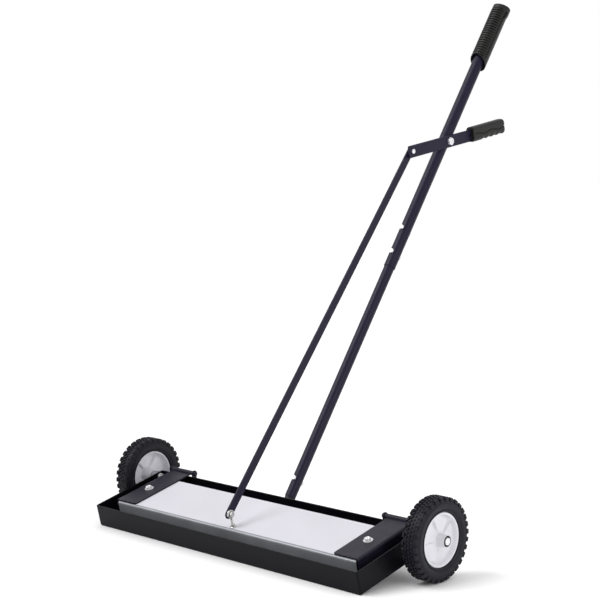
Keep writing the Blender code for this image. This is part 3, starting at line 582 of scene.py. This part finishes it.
def handle_grip():
    """A rubber sleeve with rows of ribs on its front, a plain band down its side, and an end that flares."""
    origin = middle("upper_tube")
    low, high = reach("handle_grip", HANDLE_UP)
    start, end = low - origin.dot(HANDLE_UP), high - origin.dot(HANDLE_UP)
    place = round_axis(origin, HANDLE_UP)
    # place() counts angles from ALONG_X towards the handle's back, so these are in that order round it
    front, band_at, flare_at = -pi / 2, radians(-12), radians(24)

    def surface(along, angle):
        radius = GRIP_RADIUS
        share = (along - start) / (end - start)
        radius -= 0.0010 * (1 - smooth_step(share, 0.0, 0.05))
        radius -= 0.0008 * smooth_step(share, 0.88, 0.96)
        swell = max(0.0, cos(angle - flare_at)) ** 1.3
        radius += (GRIP_FLARE - GRIP_RADIUS) * swell * smooth_step(share, 0.84, 0.94)
        ribbed = 1 - smooth_step(angle_gap(angle, front), radians(64), radians(70))
        inside = smooth_step(share, 0.135, 0.145) * (1 - smooth_step(share, 0.92, 0.93))
        wave = 0.5 - 0.5 * cos(tau * GRIP_RIBS * (share - RIBS_FROM) / RIBS_SPAN)
        radius -= RIB_DEPTH * (1 - smooth_step(wave, 0.34, 0.60)) * ribbed * inside
        groove = 1 - smooth_step(angle_gap(angle, band_at), radians(5), radians(9))
        grooved = groove * smooth_step(share, 0.12, 0.15) * (1 - smooth_step(share, 0.90, 0.94))
        radius -= GROOVE_DEPTH * grooved
        slot = 1 - smooth_step(angle_gap(angle, radians(2)), radians(6), radians(9))
        slotted = slot * smooth_step(share, 0.82, 0.84) * (1 - smooth_step(share, 0.92, 0.94))
        radius -= SLOT_DEPTH * slotted
        return radius

    def mouth(angle):
        """The lower end is cut aslant, and reaches furthest down at the back."""
        return 0.003 + 0.024 * (0.5 + 0.5 * cos(angle - radians(-94)))

    mesh_data = bmesh.new()
    steps, rows = 144, 280
    angles = [tau * i / steps for i in range(steps)]

    def ring_of(spots):
        around = zip(angles, spots)
        return [mesh_data.verts.new(place(along, radius, angle)) for angle, (along, radius) in around]

    end -= GRIP_SHORT

    def end_cut(angle):
        """The upper end is cut a little lower at its front."""
        return END_CUT * max(0.0, cos(angle - radians(-62)))

    rings = []
    for row in range(rows + 1):
        along = start + (end - start) * row / rows
        fade = max(0.0, 1 - row / rows / 0.14)
        rise = smooth_step(row / rows, 0.94, 1.0)
        spots = []
        for angle in angles:
            shifted = along + mouth(angle) * fade - end_cut(angle) * rise
            spots.append((shifted, surface(along + mouth(angle) * fade, angle)))
        rings.append(ring_of(spots))
    lip = ((-0.0006, 0.0204), (0.0004, 0.0190), (0.0080, 0.0184), (0.0140, BORE_RADIUS))
    for sink, radius in lip:
        rings.insert(0, ring_of([(start + mouth(angle) + sink, radius) for angle in angles]))
    cap = ((0.0008, 0.97), (0.0010, 0.90), (0.0010, 0.50), (0.0002, 0.42), (0.0002, 0.16))
    for rise, share in cap:
        spots = [(end + rise - end_cut(angle) * share, surface(end, angle) * share) for angle in angles]
        rings.append(ring_of(spots))
    for below, above in zip(rings, rings[1:]):
        bridge(mesh_data, below, above)
    mesh_data.faces.new(rings[-1])
    bridge(mesh_data, rings[0], ring_of([(start + mouth(angle) + 0.03, BORE_RADIUS) for angle in angles]))
    piece("ribbed_handle_grip", mesh_data, "grip", "frame", ("handle_grip",), sharp=50)


def rounded_outline(half_width, half_height, radius, arc_steps, side_steps):
    """Points round a rectangle with round corners, and with extra points along its upright sides."""
    points = []
    for quarter, (x, z) in enumerate(((1, 1), (-1, 1), (-1, -1), (1, -1))):
        for step in range(arc_steps + 1):
            angle = pi / 2 * (quarter + step / arc_steps)
            centre = (x * (half_width - radius), z * (half_height - radius))
            points.append((centre[0] + radius * cos(angle), centre[1] + radius * sin(angle)))
        if quarter in (1, 3):
            upright = half_height - radius
            for step in range(1, side_steps):
                points.append((x * half_width, z * -upright * (2 * step / side_steps - 1)))
    return points


def lever_grip():
    """A moulded grip on the flat lever, with finger hollows below and a wavy parting groove."""
    centre = middle("lever_grip")
    low, high = reach("lever_grip", LEVER_BACK)
    length = high - low - 0.0006
    half_width, half_height = 0.0118, 0.0187
    outline = rounded_outline(half_width, half_height, 0.0080, 7, 26)
    mesh_data = bmesh.new()
    rows = 132
    rings = []
    for row in range(rows + 1):
        share = row / rows
        along = (share - 0.5) * length
        far_end = max(0.0, (share - 0.94) / 0.06)
        ends = 0.70 + 0.30 * sqrt(max(0.0, 1 - far_end**2))
        ends *= 1 - 0.05 * (1 - smooth_step(share, 0.0, 0.015))
        fingers = smooth_step(share, FINGERS_FROM, 0.32) * (1 - smooth_step(share, 0.93, 0.97))
        hollow = (0.5 - 0.5 * cos(tau * (share - FINGERS_FROM) / FINGER_PITCH)) * fingers
        parting_at = 0.0022 * sin(tau * share * 2.2) - 0.0010
        ring = []
        for across, tall in outline:
            groove = 1 - smooth_step(abs(tall - parting_at), 0.0006, 0.0018)
            groove *= smooth_step(share, 0.03, 0.06) * smooth_step(abs(across), 0.009, 0.011)
            x = across * ends * (1 - 0.05 * sin(pi * share)) * (1 - 0.20 * groove)
            z = tall * ends
            if tall < 0:
                z += FINGER_DEPTH * hollow * smooth_step(-tall, 0.004, 0.015)
            ring.append(mesh_data.verts.new(centre + LEVER_BACK * along + ALONG_X * x + LEVER_UP * z))
        rings.append(ring)
    for below, above in zip(rings, rings[1:]):
        bridge(mesh_data, below, above)
    mesh_data.faces.new(rings[0])
    mesh_data.faces.new(rings[-1])
    piece("finger_lever_grip", mesh_data, "grip", "lever", ("lever_grip",), sharp=50)


# ---------------------------------------------------------------- fasteners


FASTENER_STEPS = 48


def hexagon_reach(flats, angle):
    return flats / 2 / cos((angle + pi / 6) % (pi / 3) - pi / 6)


def fastener_ring(mesh_data, place, along, radius, flats=0.0, corners=1.0):
    """A round ring, or with flats a hexagon whose corners are rounded down to this share of their height."""
    ring = []
    for i in range(FASTENER_STEPS):
        angle = tau * i / FASTENER_STEPS
        distance = radius
        if flats:
            limit = flats / 2 * (1 + CORNER_RATIO * corners)
            distance = min(hexagon_reach(flats, angle), limit)
        ring.append(mesh_data.verts.new(place(along, distance, angle)))
    return ring


def thread_rings(mesh_data, place, low, high, radius, pitch):
    """A rolled thread from low to high, with a lead-in at its low end."""
    rings = [fastener_ring(mesh_data, place, low, radius * 0.78)]
    count = max(2, int((high - low) / pitch * 6))
    for step in range(count + 1):
        along = low + 0.0006 + (high - low - 0.0006) * step / count
        ring = []
        for i in range(FASTENER_STEPS):
            phase = along / pitch - i / FASTENER_STEPS
            depth = 0.13 * radius * (0.5 + 0.5 * cos(tau * phase))
            ring.append(mesh_data.verts.new(place(along, radius - depth, tau * i / FASTENER_STEPS)))
        rings.append(ring)
    return rings


def threaded_bolt(node, body, outward, flats, head, radius, pitch, kind="zinc"):
    """A hex bolt with a chamfered, slightly dished head and a rolled thread, in place of a packed bolt."""
    low, high = reach(node, outward)
    centre = middle(node)
    top = centre + outward * (high - centre.dot(outward))
    place = round_axis(top - outward * head, outward)
    mesh_data = bmesh.new()
    rings = thread_rings(mesh_data, place, low - high + head, -0.0002, radius, pitch)
    rings.append(fastener_ring(mesh_data, place, 0.0, radius))
    rings.append(fastener_ring(mesh_data, place, 0.0, flats * 0.46))
    rings.append(fastener_ring(mesh_data, place, head * 0.06, 0, flats, 0.9))
    rings.append(fastener_ring(mesh_data, place, head * 0.74, 0, flats, 0.9))
    rings.append(fastener_ring(mesh_data, place, head * 0.90, 0, flats, 0.3))
    rings.append(fastener_ring(mesh_data, place, head, flats * 0.44))
    rings.append(fastener_ring(mesh_data, place, head, flats * 0.33))
    rings.append(fastener_ring(mesh_data, place, head * 0.90, flats * 0.29))
    rings.append(fastener_ring(mesh_data, place, head * 0.90, flats * 0.02))
    for below, above in zip(rings, rings[1:]):
        bridge(mesh_data, below, above)
    mesh_data.faces.new(rings[0])
    mesh_data.faces.new(rings[-1])
    piece(f"threaded_{node}", mesh_data, kind, body, (node,), sharp=28)


def chamfered_nut(node, body, outward, flats, hole, flange=0.0, kind="zinc"):
    """A hex nut with chamfered corners and a countersunk hole, in place of a packed nut."""
    low, high = reach(node, outward)
    height = high - low
    centre = middle(node)
    place = round_axis(centre + outward * (low - centre.dot(outward)), outward)
    mesh_data = bmesh.new()
    rings = []
    if flange:
        rings.append(fastener_ring(mesh_data, place, 0.0, flange * 0.98))
        rings.append(fastener_ring(mesh_data, place, height * 0.10, flange))
        rings.append(fastener_ring(mesh_data, place, height * 0.20, flange * 0.94))
        rings.append(fastener_ring(mesh_data, place, height * 0.32, 0, flats, 0.9))
    else:
        rings.append(fastener_ring(mesh_data, place, 0.0, flats * 0.45))
        rings.append(fastener_ring(mesh_data, place, height * 0.10, 0, flats, 0.9))
    rings.append(fastener_ring(mesh_data, place, height * 0.88, 0, flats, 0.9))
    rings.append(fastener_ring(mesh_data, place, height * 0.96, 0, flats, 0.3))
    rings.append(fastener_ring(mesh_data, place, height, flats * 0.43))
    rings.append(fastener_ring(mesh_data, place, height, hole * 1.15))
    rings.append(fastener_ring(mesh_data, place, height - hole * 0.15, hole))
    rings.append(fastener_ring(mesh_data, place, 0.0, hole))
    for below, above in zip(rings, rings[1:] + rings[:1]):
        bridge(mesh_data, below, above)
    piece(f"chamfered_{node}", mesh_data, kind, body, (node,), sharp=28)


def cup_washer(side):
    """The washer under the axle bolt's head, with its edge turned up round the head. Its near-black finish
    and raised edge are painted shade: they stand for the shade in the hub boss's cup round the head.
    """
    name = f"axle_washer_{side_name(side)}"
    outward = ALONG_X * side
    low, high = reach(name, outward)
    radius = reach(name, BACK)[1] - middle(name).dot(BACK)
    centre = middle(name)
    place = round_axis(centre + outward * (low - centre.dot(outward)), outward)
    thick, lip = high - low, WASHER_SHADE_LIP
    profile = (
        (0.0, WASHER_HOLE),
        (0.0, radius - 0.0004),
        (0.0004, radius),
        (lip - 0.0004, radius),
        (lip, radius - 0.0003),
        (lip, radius - 0.0010),
        (lip - 0.0004, radius - 0.0013),
        (thick, radius - 0.0014),
        (thick, WASHER_HOLE),
    )
    mesh_data = bmesh.new()
    lathe(mesh_data, place, profile, 48)
    piece(f"cupped_{name}", mesh_data, "black", "frame", (name,), sharp=40)


def eyebolt():
    """A ring of bent wire on a threaded stem."""
    low, high = reach("eyebolt", UP)
    wire = (reach("eyebolt", ALONG_X)[1] - reach("eyebolt", ALONG_X)[0]) / 2
    back_low, back_high = reach("eyebolt", BACK)
    ring_radius = (back_high - back_low) / 2 - wire
    centre = middle("eyebolt")
    eye = ALONG_X * centre.x + BACK * (back_low + back_high) / 2 + UP * (high - wire - ring_radius)
    mesh_data = bmesh.new()
    rings = []
    around, sides = 48, 18
    for step in range(around):
        turn = tau * step / around
        radial = BACK * cos(turn) + UP * sin(turn)
        ring = []
        for i in range(sides):
            angle = tau * i / sides
            spot = eye + radial * (ring_radius + wire * cos(angle)) + ALONG_X * (wire * sin(angle))
            ring.append(mesh_data.verts.new(spot))
        rings.append(ring)
    for below, above in zip(rings, rings[1:] + rings[:1]):
        bridge(mesh_data, below, above)
    place = round_axis(eye, UP)
    stem_top = -ring_radius
    rings = thread_rings(mesh_data, place, low - eye.dot(UP), stem_top - wire * 1.3, wire * 0.99, 0.0010)
    rings.append(fastener_ring(mesh_data, place, stem_top - wire * 0.4, wire * 0.99))
    rings.append(fastener_ring(mesh_data, place, stem_top, wire * 0.8))
    for below, above in zip(rings, rings[1:]):
        bridge(mesh_data, below, above)
    mesh_data.faces.new(rings[0])
    mesh_data.faces.new(rings[-1])
    piece("bent_wire_eyebolt", mesh_data, "wire", "magnet", ("eyebolt",), sharp=40)


def fasteners():
    """Every bolt and nut, with its head's width across flats and its size."""
    for side in (-1, 1):
        name = side_name(side)
        outward = ALONG_X * side
        threaded_bolt(f"axle_bolt_{name}", "frame", outward, 0.015, 0.0062, *M10)
        chamfered_nut(f"axle_nut_{name}", "frame", -outward, 0.015, M10_HOLE)
        cup_washer(side)
        threaded_bolt(f"bracket_bolt_{name}", "magnet", UP, 0.013, 0.0052, *M8)
        chamfered_nut(f"bracket_nut_{name}", "magnet", -UP, 0.013, M8_HOLE)
    for place in ("socket", "splice_1", "splice_2"):
        threaded_bolt(f"{place}_bolt", "frame", HANDLE_FRONT, TUBE_BOLT_FLATS, 0.0042, *M6)
        chamfered_nut(f"{place}_nut", "frame", -HANDLE_FRONT, TUBE_BOLT_FLATS, M6_HOLE)
    threaded_bolt("lever_pivot_bolt", "frame", ALONG_X, 0.017, 0.0064, *M10)
    chamfered_nut("lever_pivot_nut", "frame", -ALONG_X, 0.016, M10_HOLE)
    threaded_bolt("rod_foot_bolt", "rod", ALONG_X, 0.011, 0.0040, *M6, kind="wire")
    chamfered_nut("rod_foot_nut", "rod", -ALONG_X, TUBE_BOLT_FLATS, M6_HOLE)
    chamfered_nut("eyebolt_flange_nut", "magnet", UP, 0.010, EYE_HOLE, flange=0.0068, kind="wire")
    chamfered_nut("eyebolt_lock_nut", "magnet", -UP, 0.010, EYE_HOLE)
    eyebolt()


# ---------------------------------------------------------------- stage


def stage_material(name, colour, rough):
    made, nodes, _ = node_tree(name)
    nodes["Principled BSDF"].inputs["Base Color"].default_value = (*colour, 1.0)
    nodes["Principled BSDF"].inputs["Roughness"].default_value = rough
    return made


def floor():
    mesh_data = bmesh.new()
    bmesh.ops.create_grid(mesh_data, x_segments=1, y_segments=1, size=40.0)
    mesh = bpy.data.meshes.new("floor")
    mesh_data.to_mesh(mesh)
    mesh_data.free()
    mesh.materials.append(stage_material("pale_floor", (0.93, 0.93, 0.93), 0.9))
    made = bpy.data.objects.new("floor", mesh)
    made.location = (0, 0, -0.0005)
    bpy.context.scene.collection.objects.link(made)


def light(name, kind, place, power, **settings):
    """A lamp at a place, aimed at the object's middle."""
    data = bpy.data.lights.new(name, kind)
    data.energy = power
    for setting, value in settings.items():
        setattr(data, setting, value)
    made = bpy.data.objects.new(name, data)
    made.location = place
    made.rotation_euler = (Vector((0, 0, 0.4)) - Vector(place)).to_track_quat("-Z", "Y").to_euler()
    bpy.context.scene.collection.objects.link(made)


def lights():
    """A soft key from the front left, a large lamp from the right, and a pale room, dimmer in front."""
    light("key", "SUN", (-2.0, -3.0, 4.5), 1.7, angle=radians(35))
    light("side", "AREA", (3.6, -0.6, 1.6), 42, shape="RECTANGLE", size=2.2, size_y=2.6)
    world = bpy.data.worlds.new("studio")
    world.use_nodes = True
    nodes, links = world.node_tree.nodes, world.node_tree.links
    direction = nodes.new("ShaderNodeTexCoord").outputs["Generated"]
    facing = nodes.new("ShaderNodeVectorMath")
    facing.operation = "DOT_PRODUCT"
    facing.inputs[1].default_value = BRIGHT_SIDE
    links.new(direction, facing.inputs[0])
    strength = nodes.new("ShaderNodeMapRange")
    limits = (("From Min", -0.5), ("From Max", 0.5), ("To Min", DIM_STRENGTH), ("To Max", 1.0))
    for socket, value in limits:
        strength.inputs[socket].default_value = value
    links.new(facing.outputs["Value"], strength.inputs["Value"])
    seen = nodes.new("ShaderNodeMath")
    seen.operation = "MAXIMUM"
    links.new(strength.outputs["Result"], seen.inputs[0])
    links.new(nodes.new("ShaderNodeLightPath").outputs["Is Camera Ray"], seen.inputs[1])
    links.new(seen.outputs["Value"], nodes["Background"].inputs["Strength"])
    nodes["Background"].inputs["Color"].default_value = (1.0, 1.0, 1.0, 1.0)
    bpy.context.scene.world = world
    bpy.context.scene.view_settings.view_transform = "Standard"


def camera():
    """The view's own directions, its aim on the object and its distance."""
    level = cos(VIEW_ELEVATION)
    back = Vector((sin(VIEW_AZIMUTH) * level, -cos(VIEW_AZIMUTH) * level, sin(VIEW_ELEVATION)))
    aim = Vector((VIEW_AIM_X, AXLE.y, VIEW_AIM_Z))
    data = bpy.data.cameras.new("camera")
    data.sensor_width = 36.0
    data.lens = VIEW_LENS
    made = bpy.data.objects.new("camera", data)
    turn = (-back).to_track_quat("-Z", "Y").to_matrix().to_4x4()
    place = Matrix.Translation(aim + back * VIEW_DISTANCE)
    made.matrix_world = place @ turn @ Matrix.Rotation(VIEW_ROLL, 4, "Z")
    data.clip_end = 100.0
    bpy.context.scene.collection.objects.link(made)
    bpy.context.scene.camera = made


def main():
    for name, node in frame["nodes"].items():
        dress_node(name, node)
    for side in (-1, 1):
        wheel(side)
    handle_grip()
    lever_grip()
    fasteners()
    floor()
    lights()
    camera()


main()
